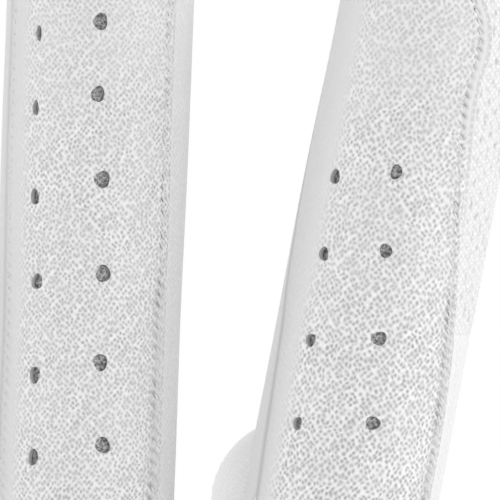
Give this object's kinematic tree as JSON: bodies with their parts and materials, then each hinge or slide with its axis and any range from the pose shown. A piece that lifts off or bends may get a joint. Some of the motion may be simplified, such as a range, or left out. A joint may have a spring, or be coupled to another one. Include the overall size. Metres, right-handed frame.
{
  "type": "golf glove",
  "caption": "Left-hand leather golf glove with perforated fingers, knit side panel and a wrist tab, shaped as worn.",
  "frame": {"origin": "centre of the wrist opening, level with the cuff's lower edge", "axes": "+Z along the fingers, the back of the hand faces -Y, the thumb is on the +X side"},
  "size_m": [0.1273, 0.0791, 0.2279],
  "materials": {
    "white_leather": "fine-grained cabretta leather, satin",
    "fork_leather": "soft side strips of the same leather",
    "knit_mesh": "open warp-knit mesh",
    "finger_lining": "thin grey tricot",
    "tab_lining": "smooth woven backing",
    "loop_patch": "brushed loop pile",
    "hook_patch": "moulded hooks",
    "binding": "folded binding tape",
    "wrist_elastic": "ribbed elastic",
    "size_label": "satin label, blank",
    "slit_underlay": "stretch knit"
  },
  "bodies": {
    "hand": {"back_panel": "white_leather", "cuff_binding": "binding", "index_flex": "white_leather", "little_flex": "white_leather", "loop_patch": "loop_patch", "middle_flex": "white_leather", "palm_panel": "white_leather", "ring_flex": "white_leather", "size_label": "size_label", "slit_binding": "binding", "slit_underlay": "slit_underlay", "tab_base": "white_leather", "thumb_base": "white_leather", "thumb_flex": "white_leather", "web_index_middle": "fork_leather", "web_middle_ring": "fork_leather", "web_ring_little": "fork_leather", "wrist_elastic": "wrist_elastic"},
    "index": {"index_back": "white_leather", "index_inner_fork": "fork_leather", "index_lining": "finger_lining", "index_outer_fork": "knit_mesh", "index_palm": "white_leather"},
    "middle": {"middle_back": "white_leather", "middle_inner_fork": "fork_leather", "middle_lining": "finger_lining", "middle_outer_fork": "fork_leather", "middle_palm": "white_leather"},
    "ring": {"ring_back": "white_leather", "ring_inner_fork": "fork_leather", "ring_lining": "finger_lining", "ring_outer_fork": "fork_leather", "ring_palm": "white_leather"},
    "little": {"little_back": "white_leather", "little_inner_fork": "fork_leather", "little_lining": "finger_lining", "little_palm": "white_leather"},
    "thumb": {"thumb_back": "white_leather", "thumb_palm": "white_leather"},
    "tab": {"closure_tab": "white_leather", "hook_patch": "hook_patch", "tab_lining": "tab_lining"}
  },
  "joints": [
    {"name": "index_bend", "type": "hinge", "parent": "hand", "child": "index", "pos_m": [0.04411, 0, 0.14969], "axis": [-0.9816, 0, 0.1908], "range_deg": [0, 60], "deforming": ["index_flex"]},
    {"name": "middle_bend", "type": "hinge", "parent": "hand", "child": "middle", "pos_m": [0.01421, 0, 0.1498], "axis": [-0.9993, 0, 0.0366], "range_deg": [0, 60], "deforming": ["middle_flex"]},
    {"name": "ring_bend", "type": "hinge", "parent": "hand", "child": "ring", "pos_m": [-0.01466, 0, 0.14976], "axis": [-0.9936, 0, -0.1132], "range_deg": [0, 70], "deforming": ["ring_flex"]},
    {"name": "little_bend", "type": "hinge", "parent": "hand", "child": "little", "pos_m": [-0.0416, 0, 0.14958], "axis": [-0.9613, 0, -0.2756], "range_deg": [0, 70], "deforming": ["little_flex"]},
    {"name": "thumb_bend", "type": "hinge", "parent": "hand", "child": "thumb", "pos_m": [0.04072, 0.02872, 0.10877], "axis": [0, 0.9432, -0.3321], "range_deg": [0, 35], "deforming": ["thumb_flex"]},
    {"name": "tab_swing", "type": "hinge", "parent": "hand", "child": "tab", "pos_m": [0.02385, -0.02687, 0.026], "axis": [0, 0, 1], "range_deg": [0, 110]}
  ]
}
